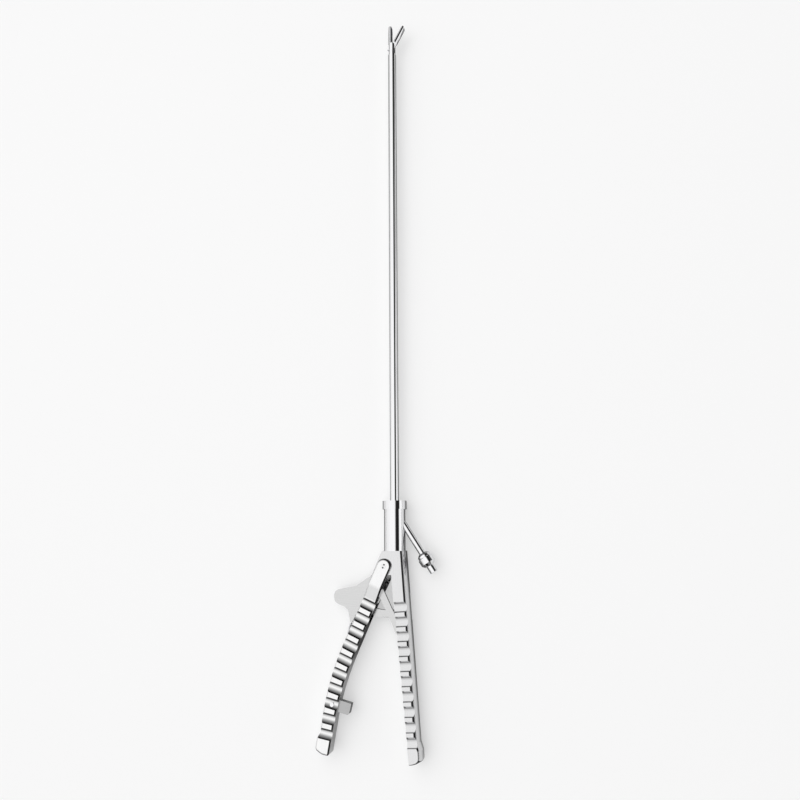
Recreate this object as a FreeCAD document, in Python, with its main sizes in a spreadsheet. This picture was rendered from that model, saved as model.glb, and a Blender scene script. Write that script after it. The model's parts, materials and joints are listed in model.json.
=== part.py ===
# Laparoscopic needle holder, 5 mm shaft, with a two-arm ratchet handle. Millimetres.
# The shaft lies along +Y with the jaws at the far end, the handle opens in the XY plane,
# and the origin is on the shaft's axis at the front face of the barrel's collar.
import FreeCAD, Part
import math
import os
import Sketcher
from FreeCAD import Placement, Rotation, Vector

SIZES = {
    "shaft_diameter": 5.0,
    "shaft_wall": 0.4,
    "shaft_step": 0.2,
    "shaft_relief": 0.2,
    "shaft_length": 284.0,
    "shaft_entry": 8.5,
    "rod_diameter": 2.0,
    "running_clearance": 0.05,
    "collar_diameter": 13.6,
    "collar_length": 4.9,
    "collar_lip": 0.8,
    "barrel_diameter": 12.0,
    "barrel_neck_diameter": 10.4,
    "barrel_bore": 6.8,
    "barrel_length": 28.0,
    "spigot_diameter": 9.0,
    "spigot_length": 5.0,
    "bush_length": 8.7,
    "port_distance": 5.2,
    "port_angle": 33.0,
    "port_diameter": 3.6,
    "port_bore": 2.2,
    "port_length": 29.0,
    "luer_diameter": 7.4,
    "luer_length": 2.4,
    "luer_cone_diameter": 4.2,
    "luer_cone_length": 4.0,
    "cap_diameter": 8.4,
    "cap_length": 3.4,
    "cap_travel_gap": 0.3,
    "cap_knob_width": 4.4,
    "cap_knob_length": 4.0,
    "seal_length": 2.2,
    "retainer_length": 2.0,
    "seal_distance": 19.0,
    "spring_diameter": 6.0,
    "spring_wire": 0.7,
    "spring_length": 10.6,
    "spring_turns": 6.0,
    "body_thickness": 11.0,
    "body_length": 13.0,
    "body_shoulder_width": 6.2,
    "body_lug_width": 12.1,
    "shoulder_drop": 3.0,
    "spine_diameter": 13.8,
    "arm_tilt": 4.0,
    "arm_length": 111.0,
    "foot_diameter": 15.8,
    "foot_length": 11.0,
    "inner_edge_top": 0.85,
    "inner_edge_slope": 5.3,
    "channel_width": 5.8,
    "channel_floor": 3.7,
    "channel_end": 56.0,
    "groove_radius": 3.6,
    "groove_depth": 1.4,
    "groove_pitch": 7.7,
    "groove_start": 30.3,
    "groove_count": 10.0,
    "pivot_side": 4.7,
    "pivot_drop": 36.2,
    "open_angle": 24.2,
    "moving_arm_width": 8.2,
    "lower_arm_width": 6.9,
    "knee_bulge": 1.1,
    "upper_arm_length": 71.2,
    "lower_arm_length": 35.6,
    "arm_bend": 14.2,
    "bend_radius": 150.0,
    "cheek_thickness": 2.1,
    "cheek_gap": 0.1,
    "bar_half": 4.6,
    "ramp_start": 11.5,
    "ramp_end": 20.5,
    "ramp_round": 8.0,
    "edge_round": 1.3,
    "foot_round": 2.2,
    "foot_swell": 4.9,
    "block_room": 9.3,
    "lever_room": 32.2,
    "pin_cover": 0.9,
    "moving_groove_start": 23.3,
    "moving_groove_pitch": 8.05,
    "pivot_screw_diameter": 3.2,
    "spanner_hole": 0.9,
    "pin_diameter": 2.2,
    "link_pin_distance": 11.3,
    "link_length": 27.2,
    "link_angle": 25.9,
    "link_width": 3.6,
    "link_thickness": 1.4,
    "eye_room": 0.2,
    "eye_shift": 0.09,
    "eye_lift": 0.115,
    "slider_thickness": 1.3,
    "slider_offset": 0.45,
    "layer_gap": 0.2,
    "lever_thickness": 2.2,
    "lever_pin_distance": 19.2,
    "paddle_root_side": 6.1,
    "paddle_root": 8.4,
    "paddle_brow_side": 12.0,
    "paddle_brow": 17.8,
    "paddle_reach": 23.2,
    "paddle_top": 25.4,
    "paddle_foot_side": 19.6,
    "paddle_foot": 31.2,
    "paddle_chin_side": 11.4,
    "paddle_tip_round": 3.4,
    "tail_side": 5.9,
    "tail_end": 36.9,
    "tail_width": 1.1,
    "rack_radius": 28.2,
    "rack_width": 4.1,
    "tooth_pitch_angle": 2.0,
    "tooth_depth": 0.6,
    "rack_reach": 10.6,
    "catch_clearance": 0.15,
    "catch_angle": 15.4,
    "catch_spread": 4.2,
    "catch_depth": 4.0,
    "catch_screw_diameter": 1.6,
    "stop_height": 6.2,
    "stop_thickness": 4.0,
    "stop_reach": 10.2,
    "stop_station": 9.2,
    "stop_root": 1.9,
    "leaf_thickness": 0.6,
    "leaf_width": 3.2,
    "leaf_start": 37.4,
    "leaf_end": 51.5,
    "leaf_rise": 1.3,
    "leaf_gap": 0.1,
    "plug_length": 4.0,
    "jaw_length": 14.2,
    "jaw_pivot_side": 1.3,
    "jaw_pivot_reach": 6.0,
    "yoke_diameter": 4.6,
    "jaw_pin_diameter": 1.2,
    "drive_pin_diameter": 1.0,
    "drive_pin_drop": 1.2,
    "jaw_angle": 28.4,
    "yoke_slot": 2.7,
    "insert_thickness": 0.5,
    "insert_width": 3.4,
    "spring_seat_depth": 4.5,
    "spring_collar_width": 1.2,
    "hub_step": 0.6,
    "cap_play": 0.1,
    "cap_crown": 0.8,
    "knob_rise": 1.2,
    "rod_end_gap": 1.0,
    "tang_side": 0.8,
    "tang_play": 0.1,
    "slider_wall": 0.9,
    "slider_gap": 0.5,
    "slider_socket_depth": 3.0,
    "slider_boss_length": 4.5,
    "slider_shoulder": 6.0,
    "slider_bend": 20.0,
    "slider_toe": 2.2,
    "slider_heel": 2.9,
    "slider_brow": 3.0,
    "slider_waist": 9.0,
    "slider_neck": 4.0,
    "link_eye_wall": 0.35,
    "link_neck_round": 1.5,
    "link_waist_round": 3.0,
    "rack_overlap_angle": 9.0,
    "catch_screw_back": 0.5,
    "spanner_hole_side": 0.85,
    "spanner_hole_depth": 1.2,
    "stop_round": 1.2,
    "stop_top_round": 0.3,
    "leaf_round": 3.0,
    "crotch_height": 2.3,
    "crotch_step": 0.4,
    "crotch_round": 1.6,
    "jaw_tip_round": 0.7,
    "jaw_tip_side": 1.9,
    "jaw_taper": 7.0,
    "jaw_back_round": 12.0,
    "yoke_floor": 0.6,
    "beak_tip_side": 1.75,
    "beak_shoulder": 4.0,
    "beak_back_round": 8.0,
    "insert_inset": 0.3,
    "tail_lean": 19.0,
    "tail_prong": 1.25,
    "tail_slot_half": 0.7,
    "tail_reach_side": 1.3,
    "tail_reach": 3.79,
    "tail_play": 0.05,
    "tail_round": 1.2,
    "slot_start_side": 0.44,
    "slot_start": 1.675,
    "slot_run": 5.0,
    "tail_end_room": 0.45,
    "tail_hub_side": 1.45,
    "tail_back_side": 1.15,
    "tooth_count": 8,
    "lever_hub_side": 3.1,
    "lever_brow_side": 2.9,
    "lever_brow": 6.2,
    "paddle_brow_round": 6.8,
    "paddle_chin_round": 5.1,
}


class Sizes:
    """The driving dimensions as plain numbers, for places worked out from several of them."""


S = Sizes()
for alias, number in SIZES.items():
    setattr(S, alias, number)
JAW_PIVOT = S.shaft_length + S.jaw_pivot_reach

doc = FreeCAD.newDocument("needle_holder")
sheet = doc.addObject("Spreadsheet::Sheet", "sizes")
for row, (alias, number) in enumerate(SIZES.items(), start=1):
    sheet.set("A%d" % row, alias)
    sheet.set("B%d" % row, str(number))
    sheet.setAlias("B%d" % row, alias)
doc.recompute()

UP = Vector(0, 0, 1)
ALONG = Vector(0, 1, 0)
ACROSS = Vector(1, 0, 0)
HALF_TURN = 180.0
FULL_TURN = 360.0
parts = {}


def polar(length, degrees):
    """A point at a length from the origin, at an angle counted from -Y towards +X."""
    turn = math.radians(degrees)
    return Vector(length * math.sin(turn), -length * math.cos(turn), 0)


def keep(thing, node):
    """Name a finished piece and list it for export."""
    thing.Label = node
    parts[node] = thing
    return thing


def new_body(name):
    return doc.addObject("PartDesign::Body", name)


def new_sketch(body, name, role="XY_Plane", offset=None):
    sketch = body.newObject("Sketcher::SketchObject", name)
    planes = [feature for feature in body.Origin.OriginFeatures if feature.Role == role]
    sketch.AttachmentSupport = [(planes[0], "")]
    sketch.MapMode = "FlatFace"
    if offset is not None:
        sketch.AttachmentOffset = offset
    return sketch


def trace(sketch, corners):
    """Close an outline through corners (x, y) or (x, y, radius); a radius rounds its corner."""
    joints = []
    count = len(corners)
    for index, corner in enumerate(corners):
        here = Vector(corner[0], corner[1], 0)
        radius = corner[2] if len(corner) > 2 else 0
        if radius == 0:
            joints.append((here, None, here))
            continue
        before = corners[index - 1]
        after = corners[(index + 1) % count]
        back = (Vector(before[0], before[1], 0) - here).normalize()
        ahead = (Vector(after[0], after[1], 0) - here).normalize()
        half = back.getAngle(ahead) / 2
        cut = radius / math.tan(half)
        bisector = (back + ahead).normalize()
        middle = here + bisector * (radius / math.sin(half) - radius)
        joints.append((here + back * cut, middle, here + ahead * cut))
    for index, (start, middle, end) in enumerate(joints):
        if middle is not None:
            sketch.addGeometry(Part.Arc(start, middle, end))
        following = joints[(index + 1) % count][0]
        if end.distanceToPoint(following) > 1e-6:
            sketch.addGeometry(Part.LineSegment(end, following))


def disc(sketch, centre, diameter):
    """A circle whose diameter is bound to a cell or a formula of cells."""
    index = sketch.addGeometry(Part.Circle(Vector(centre[0], centre[1], 0), UP, 1.0))
    size = sketch.addConstraint(Sketcher.Constraint("Diameter", index, 2.0))
    sketch.addConstraint(Sketcher.Constraint("DistanceX", index, 3, centre[0]))
    sketch.addConstraint(Sketcher.Constraint("DistanceY", index, 3, centre[1]))
    sketch.setExpression("Constraints[%d]" % size, diameter)


def pad(body, sketch, length, centred=True, reverse=False):
    feature = body.newObject("PartDesign::Pad", sketch.Name + "_pad")
    feature.Profile = sketch
    feature.setExpression("Length", length)
    feature.Midplane = centred
    feature.Reversed = reverse
    return feature


def pocket(body, sketch, length, centred=True, reverse=False):
    feature = body.newObject("PartDesign::Pocket", sketch.Name + "_pocket")
    feature.Profile = sketch
    feature.setExpression("Length", length)
    feature.Midplane = centred
    feature.Reversed = reverse
    return feature


def turn(body, sketch):
    """Revolve a profile about the sketch's own upright axis."""
    feature = body.newObject("PartDesign::Revolution", sketch.Name + "_turn")
    feature.Profile = sketch
    feature.ReferenceAxis = (sketch, ["V_Axis"])
    feature.Angle = FULL_TURN
    return feature


def rod(name, diameter, length, base, direction=UP):
    """A round bar bound to cells, from a base point along a direction."""
    bar = doc.addObject("Part::Cylinder", name)
    bar.setExpression("Radius", "(%s) / 2" % diameter)
    bar.setExpression("Height", length)
    bar.Placement = Placement(base, Rotation(UP, direction))
    return bar


def cut(name, base, tool):
    result = doc.addObject("Part::Cut", name)
    result.Base = base
    result.Tool = tool
    return result


def common(name, base, tool):
    result = doc.addObject("Part::Common", name)
    result.Base = base
    result.Tool = tool
    return result


def fuse(name, shapes):
    result = doc.addObject("Part::MultiFuse", name)
    result.Shapes = shapes
    return result


def turned(node, profile, placement=None):
    """A turned piece: (radius, height) corners revolved about Y, then placed."""
    body = new_body(node + "_body")
    sketch = new_sketch(body, node + "_profile")
    trace(sketch, profile)
    turn(body, sketch)
    if placement is not None:
        body.Placement = placement
    return keep(body, node)


def ring(node, inner, outer, low, high, placement=None):
    """A plain bush between two heights."""
    corners = [(inner, low), (outer, low), (outer, high), (inner, high)]
    return turned(node, corners, placement)


def slab(node, corners, thickness, bottom=None, holes=(), placement=None):
    """A flat plate from an outline; holes are (x, y, diameter formula)."""
    body = new_body(node + "_body")
    height = 0 if bottom is None else bottom
    sketch = new_sketch(body, node + "_outline", offset=Placement(UP * height, Rotation()))
    trace(sketch, corners)
    for x, y, diameter in holes:
        disc(sketch, (x, y), diameter)
    pad(body, sketch, thickness, centred=bottom is None)
    if placement is not None:
        body.Placement = placement
    return keep(body, node)


def frame_piece():
    """Block and fixed arm: a turned spine, milled flat front and back, with a lug on its left."""
    body = new_body("handle_frame_body")
    tilt = Placement(Vector(0, -S.barrel_length, 0), Rotation(UP, S.arm_tilt))
    spine = S.spine_diameter / 2
    foot = S.foot_diameter / 2
    start_of_foot = -S.arm_length + S.foot_length
    profile = new_sketch(body, "spine_profile", offset=tilt)
    trace(profile, [
        (0, S.shoulder_drop),
        (spine, S.shoulder_drop),
        (spine, start_of_foot),
        (foot, start_of_foot - foot / 2, foot / 4),
        (foot, -S.arm_length + foot / 4, foot / 3),
        (foot / 2, -S.arm_length, foot / 4),
        (0, -S.arm_length),
    ])
    turn(body, profile)
    top = -S.barrel_length
    bottom = top - S.body_length
    lug = new_sketch(body, "lug_outline")
    trace(lug, [
        (-S.body_shoulder_width, top),
        (-S.body_shoulder_width - S.shoulder_drop / 2, top - S.shoulder_drop),
        (-S.body_lug_width, bottom, S.running_clearance * 10),
        (0, bottom),
        (0, top),
    ])
    pad(body, lug, "sizes.body_thickness")
    reach = S.arm_length + S.barrel_length
    half = S.body_thickness / 2
    for side in (1, -1):
        face = new_sketch(body, "flat_%d" % (side + 1), offset=Placement(UP * (side * half), Rotation()))
        trace(face, [(-reach, -2 * reach), (reach, -2 * reach), (reach, reach), (-reach, reach)])
        pocket(body, face, "sizes.spine_diameter", centred=False, reverse=side > 0)
    slope = math.radians(S.inner_edge_slope)
    edge_low = -S.inner_edge_top + reach * math.tan(slope)
    inner = new_sketch(body, "inner_edge")
    trace(inner, [
        (-reach, bottom),
        (-S.inner_edge_top, bottom),
        (edge_low, bottom - reach),
        (-reach, bottom - reach),
    ])
    pocket(body, inner, "2 * sizes.spine_diameter")
    above = new_sketch(body, "top_face")
    trace(above, [(-reach, top), (reach, top), (reach, reach), (-reach, reach)])
    pocket(body, above, "2 * sizes.spine_diameter")
    channel = new_sketch(body, "channel", offset=tilt)
    upper = -S.body_length + S.body_shoulder_width / 2
    trace(channel, [
        (-S.body_shoulder_width / 2, upper),
        (S.channel_floor, upper),
        (S.channel_floor, -S.channel_end),
        (-S.body_lug_width, -S.channel_end),
        (-S.body_lug_width, -S.body_length),
        (-S.body_shoulder_width / 2, -S.body_length),
    ])
    pocket(body, channel, "sizes.channel_width")
    window = new_sketch(body, "ratchet_window", offset=tilt.multiply(Placement(UP * (LEVER_TOP + S.layer_gap), Rotation())))
    high = -S.body_length - S.lever_pin_distance / 2 - 1
    trace(window, [
        (0, high),
        (spine * 2, high),
        (spine * 2, high - S.link_pin_distance - 3),
        (0, high - S.link_pin_distance - 3),
    ])
    pocket(body, window, "sizes.lever_thickness + 2 * sizes.layer_gap", centred=False)
    rod_room = rod("rod_room", "sizes.rod_diameter + 4 * sizes.running_clearance", "sizes.body_length",
                   Vector(0, top, 0), -ALONG)
    counterbore = rod("spigot_room", "sizes.spigot_diameter", "sizes.spigot_length", Vector(0, top, 0), -ALONG)
    spring_room = rod("spring_room", "sizes.barrel_bore", "sizes.spigot_length + sizes.spring_seat_depth", Vector(0, top, 0), -ALONG)
    pivot_room = rod("pivot_room", "sizes.pivot_screw_diameter + 2 * sizes.running_clearance",
                     "2 * sizes.body_thickness", PIVOT - UP * S.body_thickness)
    screw = catch_screw_point()
    screw_room = rod("frame_screw_room", "sizes.catch_screw_diameter", "sizes.body_thickness",
                     Vector(screw.x, screw.y, -S.body_thickness), UP)
    axis = Rotation(UP, S.arm_tilt)
    cutters = [rod_room, counterbore, spring_room, pivot_room, screw_room]
    for number in range(int(S.groove_count)):
        station = S.groove_start + number * S.groove_pitch
        centre = Vector(0, top, 0) + axis.multVec(Vector(-S.spine_diameter, -station, 0))
        for side in (1, -1):
            lift = UP * (side * (half + S.groove_radius - S.groove_depth))
            name = "fixed_groove_%d_%d" % (number, side + 1)
            cutters.append(rod(name, "2 * sizes.groove_radius", "3 * sizes.spine_diameter", centre + lift,
                               axis.multVec(ACROSS)))
    return keep(cut("handle_frame_solid", body, fuse("frame_cutters", cutters)), "handle_frame")


PIVOT = Vector(-S.pivot_side, -S.pivot_drop, 0)
ARM_PLACE = Placement(PIVOT, Rotation(UP, -S.open_angle))
BEND = math.radians(S.arm_bend)
LOWER = Vector(math.sin(BEND), -math.cos(BEND), 0)
LOWER_SIDE = Vector(math.cos(BEND), math.sin(BEND), 0)
FORK_HALF = S.body_thickness / 2 + S.cheek_gap + S.cheek_thickness
LINK_LOW = S.slider_offset + S.slider_thickness / 2 + S.layer_gap
LINK_TOP = LINK_LOW + S.link_thickness
LEVER_TOP = S.slider_offset - S.slider_thickness / 2 - S.layer_gap
LEVER_LOW = LEVER_TOP - S.lever_thickness
ROUND_END = 0.98
SWELL_START = 0.3
SWELL_END = 0.85
TOE_SHARE = 0.2
LEVEL_SHARE = 0.7
SLIDER_ROUND = 0.93
TOOTH_STEEP = 0.2


def on_arm(station, offset=0.0):
    """A point of the moving arm's centre line in the arm's own frame, with a sideways offset."""
    tangent = S.bend_radius * math.tan(BEND / 2)
    start = S.upper_arm_length - tangent
    if station <= start:
        return Vector(offset, -station, 0), 0.0
    swept = min((station - start) / S.bend_radius, BEND)
    centre_x = S.bend_radius
    radius = S.bend_radius - offset
    point = Vector(centre_x - radius * math.cos(swept), -start - radius * math.sin(swept), 0)
    beyond = station - start - S.bend_radius * swept
    point = point + LOWER * max(beyond, 0.0)
    return point, math.degrees(swept)


def moving_arm():
    """The moving arm: a bent bar, forked at its top so that two cheeks straddle the block."""
    half = S.moving_arm_width / 2
    knee = S.upper_arm_length
    slim = S.lower_arm_width / 2
    corner = Vector(0, -knee, 0)
    outer = corner - Vector(half + S.knee_bulge, half * math.tan(BEND / 2), 0)
    inner = corner + Vector(slim, slim * math.tan(BEND / 2), 0)
    foot_start = corner + LOWER * (S.lower_arm_length - S.foot_length)
    foot_end = corner + LOWER * S.lower_arm_length
    neck = foot_start - LOWER_SIDE * slim
    swell = foot_start + LOWER * (S.foot_length * SWELL_START) - LOWER_SIDE * S.foot_swell
    heel = foot_start + LOWER * (S.foot_length * SWELL_END) - LOWER_SIDE * S.foot_swell
    toe = foot_end - LOWER_SIDE * (slim * TOE_SHARE)
    tip = foot_end + LOWER_SIDE * slim
    corners = [
        (half, half, half * ROUND_END),
        (slim, -S.lever_room, S.bend_radius),
        (inner.x, inner.y, S.bend_radius - slim),
        (tip.x, tip.y, S.edge_round),
        (toe.x, toe.y, S.foot_round),
        (heel.x, heel.y, S.foot_round),
        (swell.x, swell.y, S.foot_round),
        (neck.x, neck.y, S.foot_round),
        (outer.x, outer.y, S.bend_radius - half),
        (-half, half, half * ROUND_END),
    ]
    plan = new_body("moving_plan_body")
    outline = new_sketch(plan, "moving_outline")
    trace(outline, corners)
    pad(plan, outline, "2 * (sizes.body_thickness / 2 + sizes.cheek_gap + sizes.cheek_thickness)")
    side = new_body("moving_side_body")
    profile = new_sketch(side, "moving_profile", role="YZ_Plane")
    reach = 2 * S.arm_length
    trace(profile, [
        (half * 2, FORK_HALF),
        (-S.ramp_start, FORK_HALF, S.ramp_round),
        (-S.ramp_end, S.bar_half, S.ramp_round),
        (-reach, S.bar_half),
        (-reach, -S.bar_half),
        (-S.ramp_end, -S.bar_half, S.ramp_round),
        (-S.ramp_start, -FORK_HALF, S.ramp_round),
        (half * 2, -FORK_HALF),
    ])
    pad(side, profile, "2 * sizes.arm_length")
    bar = common("moving_bar", plan, side)
    doc.recompute()
    rounded = doc.addObject("Part::Fillet", "moving_rounded")
    rounded.Base = bar
    rounded.Edges = [(number, S.edge_round, S.edge_round) for number in long_edges(bar.Shape)]
    cutters = []
    rooms = (
        ("block_room", S.block_room, "sizes.body_thickness + 2 * sizes.cheek_gap", 0),
        ("lever_room", S.lever_room, "%s" % (LINK_TOP - LEVER_LOW + 2 * S.layer_gap), (LINK_TOP + LEVER_LOW) / 2),
    )
    for name, depth, height, middle in rooms:
        room = new_body(name + "_body")
        sketch = new_sketch(room, name, offset=Placement(UP * middle, Rotation()))
        trace(sketch, [(-reach, -depth), (reach, -depth), (reach, reach), (-reach, reach)])
        pad(room, sketch, height)
        cutters.append(room)
    place, swept = on_arm(S.upper_arm_length + S.stop_station)
    slot = new_body("stop_slot_body")
    sketch = new_sketch(slot, "stop_slot")
    tall = S.stop_height / 2
    trace(sketch, [(-S.stop_root, -tall), (reach, -tall), (reach, tall), (-S.stop_root, tall)])
    pad(slot, sketch, "sizes.stop_thickness")
    slot.Placement = Placement(place, Rotation(UP, swept))
    cutters.append(slot)
    for number in range(int(S.groove_count)):
        station = S.moving_groove_start + number * S.moving_groove_pitch
        centre, turn_angle = on_arm(station, -reach / 2)
        direction = Rotation(UP, turn_angle).multVec(ACROSS)
        for face in (1, -1):
            lift = UP * (face * (S.bar_half + S.groove_radius - S.groove_depth))
            name = "moving_groove_%d_%d" % (number, face + 1)
            cutters.append(rod(name, "2 * sizes.groove_radius", "2 * sizes.arm_length", centre + lift, direction))
    low = -UP * (2 * S.body_thickness)
    cutters.append(rod("screw_room", "sizes.pivot_screw_diameter", "4 * sizes.body_thickness", low))
    rim = S.bar_half - S.pin_cover
    for name, station in (
        ("link_pin_room", S.link_pin_distance),
        ("lever_pin_room", S.lever_pin_distance),
        ("stop_pin_room", S.upper_arm_length + S.stop_station),
    ):
        hole = rod(name, "sizes.pin_diameter", "%s" % (2 * rim), on_arm(station)[0] - UP * rim)
        cutters.append(hole)
    solid = cut("moving_handle_solid", rounded, fuse("moving_cutters", cutters))
    solid.Placement = ARM_PLACE
    return keep(solid, "moving_handle")


def middle_normal(face):
    """The direction a face looks in at its middle."""
    first, last, low, high = face.ParameterRange
    return face.normalAt((first + last) / 2, (low + high) / 2)


def long_edges(shape):
    """Numbers of the edges where the arm's front and back faces meet its sides."""
    found = []
    for number, edge in enumerate(shape.Edges, start=1):
        owners = shape.ancestorsOfType(edge, Part.Face)
        tilts = [abs(middle_normal(face).z) > LEVEL_SHARE for face in owners]
        if len(tilts) == 2 and tilts[0] != tilts[1]:
            found.append(number)
    return found


def barrel_pieces():
    """The barrel with its collar nut, bushes, seal and return spring."""
    outer = S.barrel_diameter / 2
    neck = S.barrel_neck_diameter / 2
    bore = S.barrel_bore / 2
    spigot = S.spigot_diameter / 2
    shaft = S.shaft_diameter / 2
    seat = shaft - S.shaft_step
    inner = shaft - S.shaft_wall
    back = -S.barrel_length
    shell = new_body("barrel_body")
    profile = new_sketch(shell, "barrel_profile")
    trace(profile, [
        (bore, back - S.spigot_length),
        (spigot, back - S.spigot_length),
        (spigot, back),
        (outer, back),
        (outer, -S.collar_length),
        (neck, -S.collar_length),
        (neck, -S.collar_lip),
        (bore, -S.collar_lip),
    ])
    turn(shell, profile)
    port_room = rod("port_room", "sizes.port_diameter", "sizes.port_length", PORT, PORT_AXIS)
    keep(cut("barrel_solid", shell, port_room), "barrel")
    turned("barrel_collar", [
        (neck, -S.collar_length),
        (S.collar_diameter / 2, -S.collar_length),
        (S.collar_diameter / 2, -S.shaft_relief),
        (seat, -S.shaft_relief),
        (seat, -S.collar_lip),
        (neck, -S.collar_lip),
    ])
    ring("shaft_bush", seat, bore, -S.collar_lip - S.bush_length, -S.collar_lip)
    turned("outer_tube", [
        (inner, -S.shaft_entry),
        (seat, -S.shaft_entry),
        (seat, 0),
        (shaft, 0),
        (shaft, S.shaft_length),
        (inner, S.shaft_length),
    ])
    slide = S.rod_diameter / 2 + S.running_clearance
    seal_low = -S.seal_distance - S.seal_length
    ring("rod_seal", slide, bore, seal_low, -S.seal_distance)
    ring("seal_retainer", slide, bore, seal_low - S.retainer_length, seal_low)


PORT_AXIS = polar(1.0, S.port_angle)
PORT = Vector(0, -S.port_distance, 0)
PORT_PLACE = Placement(PORT, Rotation(UP, S.port_angle - HALF_TURN))


def port_pieces():
    """The flushing tube, its Luer hub and the cap, each turned about the slanted port axis."""
    wall = S.port_diameter / 2
    bore = S.port_bore / 2
    start = S.barrel_bore / 2 / math.sin(math.radians(S.port_angle)) + wall
    end = S.port_length
    tube = rod("port_tube_bar", "sizes.port_diameter", "sizes.port_length - %s" % start,
               PORT + PORT_AXIS * start, PORT_AXIS)
    hole = rod("port_tube_hole", "sizes.port_bore", "sizes.port_length", PORT + PORT_AXIS * start, PORT_AXIS)
    bored = cut("port_tube_bored", tube, hole)
    clear = rod("port_tube_clear", "sizes.barrel_bore", "2 * sizes.barrel_length",
                Vector(0, -S.barrel_length, 0), ALONG)
    keep(cut("port_tube_solid", bored, clear), "flush_port_tube")
    hub = S.luer_diameter / 2
    cone = S.luer_cone_diameter / 2
    turned("luer_hub", [
        (bore, end),
        (wall + S.hub_step, end),
        (hub, end + S.luer_length / 2),
        (hub, end + S.luer_length),
        (cone, end + S.luer_length),
        (cone, end + S.luer_length + S.luer_cone_length),
        (bore, end + S.luer_length + S.luer_cone_length),
    ], PORT_PLACE)
    seat = end + S.luer_length + S.cap_travel_gap
    rim = S.cap_diameter / 2
    top = end + S.luer_length + S.luer_cone_length + S.cap_travel_gap
    knob = S.cap_knob_width / 2
    turned("luer_cap", [
        (cone + S.cap_play, seat),
        (rim, seat),
        (rim, seat + S.cap_length),
        (knob + S.cap_crown, top + S.cap_crown),
        (knob, top + S.knob_rise),
        (knob, top + S.knob_rise + S.cap_knob_length),
        (0, top + S.knob_rise + S.cap_knob_length),
        (0, top),
        (cone + S.cap_play, top),
    ], PORT_PLACE)


def spring_piece():
    """The return spring: a round wire wound between the rod's collar and the block's shoulder."""
    wire = S.spring_wire
    radius = (S.spring_diameter - wire) / 2
    low = -S.barrel_length - S.spigot_length - S.spring_seat_depth
    helix = doc.addObject("Part::Helix", "spring_path")
    helix.setExpression("Pitch", "(sizes.spring_length - sizes.spring_wire) / sizes.spring_turns")
    helix.setExpression("Height", "sizes.spring_length - sizes.spring_wire")
    helix.setExpression("Radius", "(sizes.spring_diameter - sizes.spring_wire) / 2")
    section = Part.makePolygon([
        Vector(radius - wire / 2, 0, 0),
        Vector(radius, 0, -wire / 2),
        Vector(radius + wire / 2, 0, 0),
        Vector(radius, 0, wire / 2),
        Vector(radius - wire / 2, 0, 0),
    ])
    wire_disc = doc.addObject("Part::Feature", "spring_section")
    wire_disc.Shape = section
    coil = doc.addObject("Part::Sweep", "spring_coil")
    coil.Sections = [wire_disc]
    coil.Spine = (helix, [])
    coil.Solid = True
    coil.Frenet = True
    coil.Placement = Placement(Vector(0, low + wire / 2 + S.running_clearance, 0), Rotation(ACROSS, -90))
    keep(coil, "return_spring")
    return low + S.spring_length


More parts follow.
